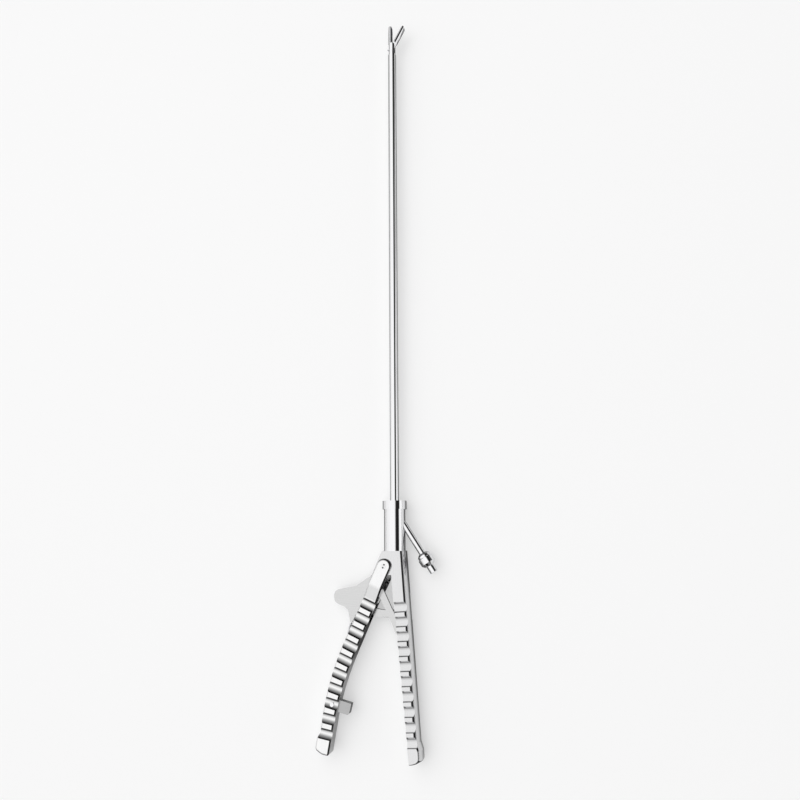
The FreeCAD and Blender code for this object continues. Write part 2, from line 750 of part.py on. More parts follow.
def rod_pieces():
    """The pull rod, its spring collar, the slider at its near end and the pin at its far end."""
    radius = S.rod_diameter / 2
    near = S.rod_end_gap - S.barrel_length - S.body_length
    tang_start = S.shaft_length + S.running_clearance * 10
    pin_height = JAW_PIVOT - S.drive_pin_drop
    bar = rod("pull_rod_bar", "sizes.rod_diameter", "%s" % (tang_start - near), Vector(0, near, 0), ALONG)
    tang = new_body("rod_tang_body")
    sketch = new_sketch(tang, "rod_tang_outline", offset=Placement(UP * (S.tang_play - S.yoke_slot / 2), Rotation()))
    wide = S.tang_side
    trace(sketch, [
        (-wide, tang_start - wide),
        (wide, tang_start - wide),
        (wide, pin_height + wide, wide * ROUND_END),
        (-wide, pin_height + wide, wide * ROUND_END),
    ])
    disc(sketch, (0, pin_height), "sizes.drive_pin_diameter")
    pad(tang, sketch, "sizes.yoke_slot / 2 - sizes.tang_play - sizes.tail_play", centred=False)
    keep(fuse("pull_rod_solid", [bar, tang]), "pull_rod")
    keep(rod("drive_pin_bar", "sizes.drive_pin_diameter", "sizes.yoke_slot - 2 * sizes.tang_play",
             Vector(0, pin_height, S.tang_play - S.yoke_slot / 2), UP), "jaw_drive_pin")
    spring_top = spring_piece()
    seat = spring_top + S.running_clearance * 2
    ring("rod_collar", radius, S.spring_diameter / 2, seat, seat + S.spring_collar_width)
    slider_low = S.slider_offset - S.slider_thickness / 2
    link_top = on_arm(S.link_pin_distance)[0]
    upper = ARM_PLACE.multVec(link_top)
    eye = upper + polar(S.link_length, S.link_angle)
    slider = new_body("slider_body")
    outline = new_sketch(slider, "slider_outline", offset=Placement(UP * slider_low, Rotation()))
    hub = radius + S.slider_wall
    toe = S.slider_toe
    trace(outline, [
        (-hub, near + S.slider_gap),
        (hub, near + S.slider_gap),
        (hub, near - S.slider_shoulder),
        (eye.x + S.slider_heel, near - S.slider_bend),
        (eye.x + S.slider_heel, eye.y - toe, toe * SLIDER_ROUND),
        (eye.x - toe, eye.y - toe, toe * SLIDER_ROUND),
        (eye.x - toe, eye.y + S.slider_brow),
        (S.slider_gap - hub, near - S.slider_waist),
        (-hub, near - S.slider_neck),
    ])
    disc(outline, (eye.x, eye.y), "sizes.pin_diameter")
    pad(slider, outline, "sizes.slider_thickness", centred=False)
    boss = rod("slider_boss", "sizes.rod_diameter + 2 * sizes.slider_wall", "sizes.slider_boss_length",
               Vector(0, near + S.slider_gap, 0), -ALONG)
    socket = rod("slider_socket", "sizes.rod_diameter", "sizes.slider_socket_depth",
                 Vector(0, near + 2 * S.slider_gap, 0), -ALONG)
    keep(cut("slider_solid", fuse("slider_joined", [slider, boss]), socket), "rod_slider")
    pin_top = slider_low + S.slider_thickness + S.layer_gap + S.link_thickness
    keep(rod("slider_pin_bar", "sizes.pin_diameter", "%s" % (pin_top - slider_low + S.tail_play),
             Vector(eye.x, eye.y, slider_low), UP), "slider_pin")
    return upper, eye


def link_piece(upper, eye):
    """The drive link, a flat plate with an eye at each end; the lower eye has room to spare."""
    low = S.slider_offset + S.slider_thickness / 2 + S.layer_gap
    half = S.link_width / 2
    end = half + S.link_eye_wall
    length = S.link_length
    body = new_body("drive_link_body")
    outline = new_sketch(body, "drive_link_outline", offset=Placement(UP * low, Rotation()))
    trace(outline, [
        (-end, end, end * ROUND_END),
        (end, end, end * ROUND_END),
        (end, -end / 2, S.link_neck_round),
        (half, -end * 2, S.link_waist_round),
        (half, -length + end * 2, S.link_waist_round),
        (end, -length + end / 2, S.link_neck_round),
        (end, -length - end, end * ROUND_END),
        (-end, -length - end, end * ROUND_END),
        (-end, -length + end / 2, S.link_neck_round),
        (-half, -length + end * 2, S.link_waist_round),
        (-half, -end * 2, S.link_waist_round),
        (-end, -end / 2, S.link_neck_round),
    ])
    disc(outline, (0, 0), "sizes.pin_diameter + 2 * sizes.running_clearance")
    disc(outline, (S.eye_shift, S.eye_lift - length), "sizes.pin_diameter + 2 * sizes.eye_room")
    pad(body, outline, "sizes.link_thickness", centred=False)
    body.Placement = Placement(upper, Rotation(UP, S.link_angle))
    keep(body, "drive_link")


def lever_piece():
    """Release lever: the thumb paddle, the hub on its pin, and the toothed arc bar about the pivot."""
    pin = ARM_PLACE.multVec(on_arm(S.lever_pin_distance)[0])
    low = LEVER_LOW
    body = new_body("lever_body")
    paddle = new_sketch(body, "paddle_outline", offset=Placement(UP * low, Rotation()))
    hub = S.pin_diameter
    station = S.lever_pin_distance
    local = [
        (-S.paddle_root_side, -S.paddle_root, S.leaf_thickness),
        (-S.paddle_brow_side, -S.paddle_brow, S.paddle_brow_round),
        (-S.paddle_reach, -S.paddle_top, S.paddle_tip_round),
        (-S.paddle_foot_side, -S.paddle_foot, S.paddle_tip_round),
        (-S.paddle_chin_side, -S.paddle_foot + S.leaf_thickness, S.paddle_chin_round),
        (-S.tail_side - S.tail_width, -S.tail_end, S.tail_width / 3),
        (-S.tail_side, -S.tail_end, S.tail_width / 3),
        (S.stop_top_round - S.tail_side, -S.paddle_foot, S.paddle_tip_round),
        (S.lever_hub_side, -station - hub, hub),
        (S.lever_hub_side, -station + hub, hub),
        (-S.lever_brow_side, S.lever_brow - station, hub / 2),
    ]
    corners = []
    for x, y, radius in local:
        point = ARM_PLACE.multVec(Vector(x, y, 0))
        corners.append((point.x, point.y, radius))
    trace(paddle, corners)
    disc(paddle, (pin.x, pin.y), "sizes.pin_diameter + 2 * sizes.running_clearance")
    pad(body, paddle, "sizes.lever_thickness", centred=False)
    outer = S.rack_radius
    inner = S.rack_radius - S.rack_width
    first = -math.degrees(math.asin((PIVOT.x - pin.x) / (outer - S.rack_width / 2))) - S.rack_overlap_angle
    tip = S.rack_reach
    bar = new_sketch(body, "rack_outline", offset=Placement(UP * low, Rotation()))
    middle = (first + tip) / 2

    def about(radius, angle):
        return PIVOT + polar(radius, angle)

    bar.addGeometry(Part.Arc(about(inner, first), about(inner, middle), about(inner, tip)))
    bar.addGeometry(Part.LineSegment(about(inner, tip), about(outer, tip)))
    root = outer - S.tooth_depth
    angle = tip
    previous = about(outer, tip)
    for number in range(int(S.tooth_count)):
        valley = about(root, angle - S.tooth_pitch_angle * TOOTH_STEEP)
        crest = about(outer, angle - S.tooth_pitch_angle)
        bar.addGeometry(Part.LineSegment(previous, valley))
        bar.addGeometry(Part.LineSegment(valley, crest))
        previous = crest
        angle = angle - S.tooth_pitch_angle
    middle = (first + angle) / 2
    bar.addGeometry(Part.Arc(previous, about(outer, middle), about(outer, first)))
    bar.addGeometry(Part.LineSegment(about(outer, first), about(inner, first)))
    pad(body, bar, "sizes.lever_thickness", centred=False)
    keep(body, "release_lever")
    return pin


def catch_screw_point():
    """Where the catch's screw stands, behind the catch's tooth."""
    reach = S.rack_radius + S.catch_clearance + S.catch_depth / 2 + S.catch_screw_back
    return PIVOT + polar(reach, S.catch_angle + S.catch_spread / 2)


def catch_pieces():
    """The fixed catch tooth that the arc bar clicks over, and the screw that holds it."""
    angle = S.catch_angle
    low = -S.channel_width / 2
    top = LEVER_TOP
    body = new_body("catch_body")
    sketch = new_sketch(body, "catch_outline", offset=Placement(UP * low, Rotation()))
    crest = S.rack_radius + S.catch_clearance
    root = crest + S.tooth_depth
    back = crest + S.catch_depth
    points = [
        PIVOT + polar(root, angle),
        PIVOT + polar(crest, angle + S.tooth_pitch_angle * (1 - TOOTH_STEEP)),
        PIVOT + polar(root, angle + S.tooth_pitch_angle),
        PIVOT + polar(root, angle + S.catch_spread),
        PIVOT + polar(back, angle + S.catch_spread),
        PIVOT + polar(back, angle),
    ]
    trace(sketch, [(point.x, point.y) for point in points])
    pad(body, sketch, "%s" % (top - low - S.layer_gap), centred=False)
    screw = catch_screw_point()
    length = S.body_thickness / 2 + top - 2 * S.layer_gap - S.layer_gap
    room = rod("catch_screw_room", "sizes.catch_screw_diameter", "sizes.body_thickness",
               Vector(screw.x, screw.y, -S.body_thickness), UP)
    keep(cut("catch_solid", body, room), "ratchet_catch")
    shank = rod("catch_screw_bar", "sizes.catch_screw_diameter", "%s" % length,
                Vector(screw.x, screw.y, -S.body_thickness / 2), UP)
    keep(shank, "catch_screw")
    return screw


def arm_fittings():
    """The pivot screw, the two hidden pins, the stop block with its pin, and the leaf spring."""
    screw = rod("pivot_screw_bar", "sizes.pivot_screw_diameter", "%s" % (2 * FORK_HALF),
                Vector(0, 0, -FORK_HALF), UP)
    holes = []
    for side in (1, -1):
        holes.append(rod("spanner_hole_%d" % (side + 1), "sizes.spanner_hole", "sizes.spanner_hole_depth",
                         Vector(0, side * S.spanner_hole_side, FORK_HALF - S.spanner_hole), UP))
    screw_solid = cut("pivot_screw_solid", screw, fuse("spanner_holes", holes))
    screw_solid.Placement = ARM_PLACE
    keep(screw_solid, "pivot_screw")
    rim = S.bar_half - S.pin_cover
    for node, station, top in (("link_pin", S.link_pin_distance, rim),
                               ("lever_pin", S.lever_pin_distance, LEVER_TOP)):
        base = ARM_PLACE.multVec(on_arm(station)[0] - UP * rim)
        keep(rod(node + "_bar", "sizes.pin_diameter", "%s" % (top + rim), base, UP), node)
    place, swept = on_arm(S.upper_arm_length + S.stop_station)
    base = ARM_PLACE.multVec(place - UP * rim)
    keep(rod("stop_pin_bar", "sizes.pin_diameter", "%s" % (2 * rim), base, UP), "stop_pin")
    tall = S.stop_height / 2
    back = -S.stop_root
    turn_place = Placement(place, Rotation(UP, swept))
    slab("stop_block", [
        (back, -tall),
        (S.stop_reach, -tall, S.stop_round),
        (S.stop_reach, tall, S.stop_top_round),
        (back, tall),
    ], "sizes.stop_thickness", holes=[(0, 0, "sizes.pin_diameter")], placement=ARM_PLACE.multiply(turn_place))
    thin = S.leaf_thickness
    grip = S.leaf_end - S.leaf_start

    def edge(station):
        return -S.moving_arm_width / 2 - S.knee_bulge * station / S.upper_arm_length - S.leaf_gap

    low = edge(S.leaf_end)
    middle = edge(S.leaf_end - grip / 2)
    high = edge(S.leaf_start) - S.leaf_rise
    slab("leaf_spring", [
        (low - thin, -S.leaf_end),
        (low, -S.leaf_end),
        (middle, -S.leaf_end + grip / 2),
        (high, -S.leaf_start - 3 * thin, S.leaf_round),
        (high, -S.leaf_start),
        (high - thin, -S.leaf_start),
        (high - thin, -S.leaf_start - 3 * thin, S.leaf_round),
        (middle - thin, -S.leaf_end + grip / 2),
    ], "sizes.leaf_width", bottom=LEVER_TOP - S.lever_thickness / 2 - S.leaf_width / 2, placement=ARM_PLACE)


def jaw_pieces():
    """Fixed jaw on its slotted yoke, moving jaw with its slotted tail, pins and carbide inserts."""
    radius = S.yoke_diameter / 2
    base = S.shaft_length
    pivot = Vector(S.jaw_pivot_side, JAW_PIVOT, 0)
    crotch = JAW_PIVOT + S.crotch_height
    tip = JAW_PIVOT + S.jaw_length
    thick = S.insert_thickness
    face = S.running_clearance
    yoke = new_body("yoke_body")
    outline = new_sketch(yoke, "yoke_outline")
    trace(outline, [
        (-radius, base),
        (radius, base),
        (radius, crotch - S.crotch_step, S.crotch_round),
        (-face - thick, crotch - S.crotch_step),
        (-face - thick, tip, thick),
        (-S.jaw_tip_side, tip, S.jaw_tip_round),
        (-radius, tip - S.jaw_taper, S.jaw_back_round),
    ])
    pad(yoke, outline, "sizes.shaft_diameter")
    slot = new_sketch(yoke, "yoke_slot_outline")
    trace(slot, [
        (-2 * radius, base + S.yoke_floor),
        (2 * radius, base + S.yoke_floor),
        (2 * radius, crotch - S.insert_inset),
        (-2 * radius, crotch - S.insert_inset),
    ])
    pocket(yoke, slot, "sizes.yoke_slot")
    round_bar = rod("yoke_round", "sizes.yoke_diameter", "2 * sizes.jaw_length", Vector(0, base, 0), ALONG)
    plug = rod("yoke_plug", "sizes.shaft_diameter - 2 * sizes.shaft_wall", "sizes.plug_length",
               Vector(0, base, 0), -ALONG)
    rounded = common("yoke_rounded", yoke, round_bar)
    joined = fuse("yoke_joined", [rounded, plug])
    rod_room = rod("yoke_rod_room", "sizes.rod_diameter + 2 * sizes.insert_thickness",
                   "sizes.plug_length + 3 * sizes.insert_thickness",
                   Vector(0, base - S.plug_length - thick, 0), ALONG)
    pin_room = rod("yoke_pin_room", "sizes.jaw_pin_diameter", "2 * sizes.shaft_diameter",
                   pivot - UP * S.shaft_diameter, UP)
    keep(cut("fixed_jaw_solid", joined, fuse("yoke_rooms", [rod_room, pin_room])), "fixed_jaw")
    pin_bar = rod("jaw_pin_bar", "sizes.jaw_pin_diameter", "2 * sizes.shaft_diameter",
                  pivot - UP * S.shaft_diameter, UP)
    pin_round = rod("jaw_pin_round", "sizes.yoke_diameter", "2 * sizes.jaw_length", Vector(0, base, 0), ALONG)
    keep(common("jaw_pin_flush", pin_bar, pin_round), "jaw_pivot_pin")
    insert = [
        (-face - thick, crotch + S.crotch_step),
        (-face, crotch + S.crotch_step),
        (-face, tip - S.crotch_step / 2),
        (-face - thick, tip - S.crotch_step / 2),
    ]
    slab("fixed_jaw_insert", insert, "sizes.insert_width")
    opened = Placement(pivot, Rotation(UP, -S.jaw_angle))
    side = S.jaw_pivot_side
    beak = new_body("beak_body")
    outline = new_sketch(beak, "beak_outline")
    high = S.crotch_height + S.tang_play
    trace(outline, [
        (-side + face + thick, high),
        (radius - side - S.tang_play, high, S.jaw_tip_round),
        (radius - side, high + S.beak_shoulder, S.beak_back_round),
        (S.beak_tip_side - side, S.jaw_length, S.jaw_tip_round),
        (-side + face + thick, S.jaw_length, S.crotch_step),
    ])
    pad(beak, outline, "sizes.shaft_diameter")
    beak_round = rod("beak_round", "sizes.yoke_diameter", "2 * sizes.jaw_length", Vector(-side, 0, 0), ALONG)
    beak_shape = common("beak_rounded", beak, beak_round)
    tail = new_body("tail_body")
    outline = new_sketch(tail, "tail_outline", offset=Placement(UP * S.tail_play, Rotation()))
    lean = S.tail_lean
    prong = S.tail_prong
    end = Vector(-S.tail_reach_side, -S.tail_reach, 0) + polar(S.tail_end_room, -lean)
    across = Vector(math.cos(math.radians(lean)), -math.sin(math.radians(lean)), 0)
    left = end - across * prong
    right = end + across * prong
    trace(outline, [
        (-prong, high + S.insert_inset),
        (-S.tail_hub_side, S.insert_inset, S.tail_round),
        (left.x, left.y),
        (right.x, right.y),
        (S.tail_back_side, -S.jaw_tip_round, S.tail_round),
        (S.tail_back_side, high + S.insert_inset),
    ])
    disc(outline, (0, 0), "sizes.jaw_pin_diameter + 2 * sizes.running_clearance")
    pad(tail, outline, "sizes.yoke_slot / 2 - 2 * sizes.tail_play", centred=False)
    start = Vector(-S.slot_start_side, -S.slot_start, 0)
    half_slot = S.tail_slot_half
    slot = new_sketch(tail, "tail_slot", offset=Placement(UP * S.tail_play, Rotation()))
    run = polar(1.0, -lean)
    first = start - run * half_slot
    last = start + run * S.slot_run
    trace(slot, [
        ((first - across * half_slot).x, (first - across * half_slot).y, half_slot * ROUND_END),
        ((first + across * half_slot).x, (first + across * half_slot).y, half_slot * ROUND_END),
        ((last + across * half_slot).x, (last + across * half_slot).y),
        ((last - across * half_slot).x, (last - across * half_slot).y),
    ])
    pocket(tail, slot, "sizes.yoke_slot", centred=True)
    tail_round = rod("tail_round", "sizes.shaft_diameter - sizes.running_clearance", "4 * sizes.jaw_length",
                     Vector(-side, -2 * S.jaw_length, 0), ALONG)
    jaw = fuse("moving_jaw_solid", [beak_shape, common("tail_rounded", tail, tail_round)])
    jaw.Placement = opened
    keep(jaw, "moving_jaw")
    insert = [
        (-side + face, high + 2 * S.insert_inset),
        (-side + face + thick, high + 2 * S.insert_inset),
        (-side + face + thick, S.jaw_length - S.insert_inset),
        (-side + face, S.jaw_length - S.insert_inset),
    ]
    slab("moving_jaw_insert", insert, "sizes.insert_width", placement=opened)


handle_frame = frame_piece()
moving_handle = moving_arm()
barrel_pieces()
port_pieces()
upper, eye = rod_pieces()
link_piece(upper, eye)
lever_piece()
catch_pieces()
arm_fittings()
jaw_pieces()

doc.recompute()
faults = []
for thing in doc.Objects:
    if "Invalid" in thing.State or "Error" in thing.State:
        faults.append(thing.Name)
for node, thing in parts.items():
    if thing.Shape.isNull() or not thing.Shape.isValid() or not thing.Shape.Solids:
        faults.append(node)
if faults:
    raise RuntimeError("these did not build: " + ", ".join(faults))
os.makedirs("parts", exist_ok=True)
for node, thing in parts.items():
    shape = thing.Shape
    print(node, len(shape.Solids), round(shape.Volume, 1))
    shape.exportStep("parts/%s.step" % node)
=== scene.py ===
# Looks of a laparoscopic needle holder: polished and satin steel on a plain pale floor. Metres.
import json
import math
from collections import namedtuple

import bpy
from mathutils import Matrix, Vector

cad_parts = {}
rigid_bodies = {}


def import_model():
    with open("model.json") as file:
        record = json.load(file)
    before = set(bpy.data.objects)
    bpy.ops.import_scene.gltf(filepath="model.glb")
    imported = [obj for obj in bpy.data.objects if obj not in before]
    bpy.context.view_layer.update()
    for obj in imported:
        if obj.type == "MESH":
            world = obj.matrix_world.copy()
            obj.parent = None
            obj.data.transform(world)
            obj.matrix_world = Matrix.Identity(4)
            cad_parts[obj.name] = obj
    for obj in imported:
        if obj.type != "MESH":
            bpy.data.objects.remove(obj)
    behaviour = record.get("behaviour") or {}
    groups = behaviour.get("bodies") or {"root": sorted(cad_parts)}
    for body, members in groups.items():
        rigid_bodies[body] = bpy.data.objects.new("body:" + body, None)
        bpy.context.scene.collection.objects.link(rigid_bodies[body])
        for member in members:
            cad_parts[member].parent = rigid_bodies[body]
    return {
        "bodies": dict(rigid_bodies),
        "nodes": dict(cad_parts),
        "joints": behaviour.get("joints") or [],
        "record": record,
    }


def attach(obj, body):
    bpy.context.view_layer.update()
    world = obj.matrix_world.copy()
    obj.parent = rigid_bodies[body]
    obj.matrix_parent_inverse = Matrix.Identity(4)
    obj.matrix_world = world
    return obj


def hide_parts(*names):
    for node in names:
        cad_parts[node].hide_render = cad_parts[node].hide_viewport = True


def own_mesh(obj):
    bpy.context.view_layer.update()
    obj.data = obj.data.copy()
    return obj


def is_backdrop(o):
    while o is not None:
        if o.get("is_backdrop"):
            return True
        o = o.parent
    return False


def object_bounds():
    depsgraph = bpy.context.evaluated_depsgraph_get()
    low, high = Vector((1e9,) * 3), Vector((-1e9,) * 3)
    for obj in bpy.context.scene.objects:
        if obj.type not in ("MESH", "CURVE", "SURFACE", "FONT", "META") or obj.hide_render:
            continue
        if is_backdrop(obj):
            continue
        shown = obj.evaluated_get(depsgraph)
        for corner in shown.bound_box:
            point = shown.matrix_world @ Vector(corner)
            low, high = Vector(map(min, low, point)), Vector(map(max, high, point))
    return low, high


MM = 0.001
WHITE = (1.0, 1.0, 1.0, 1.0)

# The camera that took the photo, worked out from the shaft's taper and the handle's outline.
# Its places are in millimetres and its target lies on the plane through the shaft's axis.
PHOTO_SIZE = 800.0
FOCAL_PIXELS = 718.2
SENSOR_WIDTH = 36.0
CAMERA_DISTANCE = 412.9
CAMERA_TILT = math.radians(14.0)
CAMERA_STATION = -20.0
CAMERA_TARGET = Vector((3.59, 58.18, 0.0))
CAMERA_ROLL = math.radians(-0.4165)
NEAREST_SEEN = 0.01
FARTHEST_SEEN = 20.0

# The floor. Its own glow, for the camera alone, keeps its shadows light.
FLOOR_SIZE = 6.0
FLOOR_GAP = 0.02 * MM
FLOOR_ROUGHNESS = 0.8
FLOOR_SHADE = 0.90
FLOOR_GLOW = 0.45

# Painted reflection: dark and light bands, like cards, in the floor's colour beside the shaft, by their
# place across it. Only reflections show them.
REFLECTED_BAND_REACH = 100.0 * MM
REFLECTED_FLOOR_BANDS = [
    (-60 * MM, 0.80), (-28 * MM, 0.75), (-20 * MM, 0.10), (8 * MM, 0.10), (16 * MM, 0.40), (22 * MM, 0.85),
    (80 * MM, 0.85),
]

# The surround, as brightness by degrees from straight up: across the shaft, to the right, and along it,
# to the jaws. The camera sees a plain backdrop in its place.
BACKDROP_SHADE = 0.78
SURROUND_STRENGTH = 1.2
HALF_TURN = 180.0
ACROSS = [
    (-180, 0.20), (-112, 0.10), (-104, 0.80), (-70, 0.9), (-30, 1.0), (14, 1.0), (20, 0.45), (26, 0.02),
    (58, 0.01), (63, 0.85), (66, 1.0), (84, 1.0), (100, 0.5),
]
ALONG = [
    (-180, 1.0), (-92, 0.06), (-78, 0.15), (-62, 0.50), (-50, 0.76), (-35, 0.88), (-20, 1.0), (62, 1.0),
    (78, 0.10), (90, 0.10), (100, 1.0),
]

# A dark corner low down, beyond the jaws on the right: its place by height and by degrees from the jaws'
# direction, to the right, and how much of the light it leaves.
CORNER_HEIGHTS = [(0.35, 1.0), (0.75, 0.0)]
CORNER_WIDTH = [(-14, 0.0), (-2, 1.0), (50, 1.0), (80, 0.0)]
CORNER_LEAVES = [(0.0, 1.0), (1.0, 0.04)]

# The key light, a wide soft panel over the handle.
KEY_PLACE = Vector((-0.15, 0.2, 1.2))
KEY_TARGET = Vector((0.0, 0.05, 0.0))
KEY_SIZE = 1.8
KEY_POWER = 8.5

# Fine streaks are noise drawn out along one axis, dark at its first end. Handling marks are rounder.
ALONG_SHAFT = (6000.0, 60.0, 6000.0)
ACROSS_SHAFT = (60.0, 6000.0, 6000.0)
STREAK_SCALE = 1.0
STREAK_DETAIL = 4.0
STREAK_ENDS = (0.35, 0.65)
STREAK_DARKENING = 0.95
SMUDGE_SCALE = 180.0
SMUDGE_DETAIL = 6.0
BRUSH_STRENGTH = 0.25
BRUSH_DEPTH = 0.003 * MM

# The crossed cuts on the jaws' gripping faces.
CUT_TURN = math.radians(35.0)
CUT_SCALE = 600.0
CUT_DEPTH = 0.08 * MM

# A mask paints shade and reflection into the metal's colour: it darkens it by a fact of the piece itself,
# its normal or its place, measured along a direction between two ends. Its stops are (measure, share of
# the colour that is left).
Mask = namedtuple("Mask", "fact direction ends stops")
SCREW_FLOOR = 7.6 * MM
# Painted reflection: a black band and a greyer outer strip along the block's rounded right side, by the
# way its surface faces.
BLOCK_EDGE_PAINTED_REFLECTION = Mask("Normal", (1, 0, 0), (-1, 1), [
    (0.25, 1.0), (0.30, 0.03), (0.73, 0.03), (0.78, 1.0), (0.92, 1.0), (0.95, 0.75), (1.0, 0.65),
])
# Painted reflection: a dark band along the arm's right edge, by the way its surface faces.
ARM_EDGE_PAINTED_REFLECTION = Mask("Normal", (0.93, -0.37, 0), (-1, 1), [
    (0.30, 1.0), (0.38, 0.04), (0.80, 0.04), (0.88, 0.9), (1.0, 0.9),
])
# Painted shade: the groove walls darker or lighter by the way they face along the arm.
ARM_GROOVE_PAINTED_SHADE = Mask("Normal", (0.37, 0.93, 0), (-1, 1), [
    (-0.7, 0.20), (-0.55, 0.40), (-0.42, 0.95), (0.0, 1.0), (0.10, 0.85), (0.35, 0.35), (0.6, 0.10),
])
# Painted shade: the screw's colour is black below the height of its holes' floors, so the hole bottoms are
# dark.
SCREW_HOLE_PAINTED_SHADE = Mask("Object", (0, 0, 1), (0, 2 * SCREW_FLOOR), [
    (0.0, 0.02), (SCREW_FLOOR, 0.02), (1.01 * SCREW_FLOOR, 1.0),
])

# Every finish: colour, roughness, how far streaks and smudges add to the roughness, the streaks' axis,
# masks of painted shade and painted reflection, and whether its relief is crossed cuts in place of brush
# marks.
Finish = namedtuple(
    "Finish",
    "colour roughness streak smudge axis masks cut",
    defaults=(ALONG_SHAFT, (), False),
)
FINISHES = {
    "polished_steel": Finish((0.80, 0.80, 0.81), 0.03, 0.03, 0.03),
    "satin_steel": Finish((0.66, 0.66, 0.665), 0.08, 0.06, 0.05, masks=(BLOCK_EDGE_PAINTED_REFLECTION,)),
    "screw_steel": Finish((0.80, 0.80, 0.80), 0.07, 0.05, 0.05, masks=(SCREW_HOLE_PAINTED_SHADE,)),
    "bright_satin_steel": Finish((0.80, 0.80, 0.80), 0.07, 0.05, 0.05, masks=(ARM_GROOVE_PAINTED_SHADE, ARM_EDGE_PAINTED_REFLECTION)),
    "dull_steel": Finish((0.42, 0.42, 0.42), 0.22, 0.08, 0.05),
    "ground_steel": Finish((0.60, 0.60, 0.60), 0.20, 0.08, 0.05, axis=ACROSS_SHAFT),
    "spring_steel": Finish((0.60, 0.60, 0.62), 0.18, 0.05, 0.05),
    "carbide": Finish((0.14, 0.14, 0.15), 0.35, 0.10, 0.05, axis=ACROSS_SHAFT, cut=True),
    "silicone": Finish((0.70, 0.70, 0.70), 0.5, 0.05, 0.05),
}

# The pieces whose finish isn't simply that of their slot.
SPECIAL_FINISH = {
    "moving_handle": "bright_satin_steel",
    "pivot_screw": "screw_steel",
    "handle_frame": "satin_steel",
    "stop_block": "dull_steel",
    "release_lever": "ground_steel",
    "drive_link": "ground_steel",
}


def load_frame():
    """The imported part, and its box before anything is added."""
    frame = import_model()
    low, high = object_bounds()
    return frame, {"cad": [list(low), list(high)]}


def add_object(name, data):
    thing = bpy.data.objects.new(name, data)
    bpy.context.scene.collection.objects.link(thing)
    return thing


def make_camera():
    """The photo's camera: to the right of the shaft, looking down on it, and rolled a little."""
    place = Vector((
        CAMERA_DISTANCE * math.sin(CAMERA_TILT),
        CAMERA_STATION,
        CAMERA_DISTANCE * math.cos(CAMERA_TILT),
    ))
    forward = (CAMERA_TARGET - place).normalized()
    right = forward.cross(Vector((0, 1, 0))).normalized()
    up = right.cross(forward)
    rolled_right = math.cos(CAMERA_ROLL) * right + math.sin(CAMERA_ROLL) * up
    rolled_up = math.cos(CAMERA_ROLL) * up - math.sin(CAMERA_ROLL) * right
    turn = Matrix((rolled_right, rolled_up, -forward)).transposed()
    data = bpy.data.cameras.new("photo_camera")
    data.sensor_width = SENSOR_WIDTH
    data.lens = SENSOR_WIDTH * FOCAL_PIXELS / PHOTO_SIZE
    data.clip_start = NEAREST_SEEN
    data.clip_end = FARTHEST_SEEN
    camera = add_object("photo_camera", data)
    camera.matrix_world = Matrix.Translation(place * MM) @ turn.to_4x4()
    bpy.context.scene.camera = camera


class Graph:
    """Small helper for building a node tree."""

    def __init__(self, tree):
        self.tree = tree
        tree.nodes.clear()

    def add(self, kind, **settings):
        node = self.tree.nodes.new(kind)
        for key, value in settings.items():
            setattr(node, key, value)
        return node

    def link(self, source, target):
        """Feed a socket from another one, or set it to a value."""
        if isinstance(source, bpy.types.NodeSocket):
            self.tree.links.new(source, target)
        else:
            target.default_value = source

    def math(self, operation, *sources):
        node = self.add("ShaderNodeMath", operation=operation)
        for source, target in zip(sources, node.inputs):
            self.link(source, target)
        return node.outputs[0]

    def vector(self, operation, first, second):
        node = self.add("ShaderNodeVectorMath", operation=operation)
        self.link(first, node.inputs[0])
        self.link(second, node.inputs[1])
        return node.outputs["Value" if operation == "DOT_PRODUCT" else "Vector"]

    def parts(self, source):
        """The three parts of a direction or place."""
        node = self.add("ShaderNodeSeparateXYZ")
        self.link(source, node.inputs[0])
        return node.outputs["X"], node.outputs["Y"], node.outputs["Z"]

    def mix(self, share, first, second):
        """The first colour where the share is 0 and the second where it is 1."""
        node = self.add("ShaderNodeMix", data_type="RGBA")
        colours = [socket for socket in node.inputs if socket.type == "RGBA"]
        self.link(share, node.inputs["Factor"])
        self.link(first, colours[0])
        self.link(second, colours[1])
        return next(socket for socket in node.outputs if socket.type == "RGBA")

    def ramp(self, source, stops, ends=(0.0, 1.0)):
        """A colour ramp between two ends of the source; stops are (place, grey) or (place, (r, g, b))."""
        least, most = ends
        node = self.add("ShaderNodeValToRGB")
        elements = node.color_ramp.elements
        elements.remove(elements[-1])
        for index, (place, shade) in enumerate(stops):
            share = (place - least) / (most - least)
            element = elements[0] if index == 0 else elements.new(share)
            element.position = share
            element.color = (*shade, 1.0) if isinstance(shade, tuple) else (shade, shade, shade, 1.0)
        along = self.math("DIVIDE", self.math("SUBTRACT", source, least), most - least)
        self.link(along, node.inputs["Fac"])
        return node.outputs["Color"]

    def sweep(self, first, second, stops):
        """Brightness by the angle between two parts of a direction, in degrees from the second."""
        angle = self.math("DEGREES", self.math("ARCTAN2", first, second))
        return self.ramp(angle, stops, (-HALF_TURN, HALF_TURN))

    def noise(self, place, scale, detail):
        node = self.add("ShaderNodeTexNoise")
        node.inputs["Scale"].default_value = scale
        node.inputs["Detail"].default_value = detail
        self.link(place, node.inputs["Vector"])
        return node.outputs["Fac"]


def new_material(name):
    """A material, its graph, and its principled shader joined to the output."""
    material = bpy.data.materials.new(name)
    material.use_nodes = True
    graph = Graph(material.node_tree)
    output = graph.add("ShaderNodeOutputMaterial")
    shader = graph.add("ShaderNodeBsdfPrincipled")
    graph.link(shader.outputs[0], output.inputs["Surface"])
    return material, graph, shader


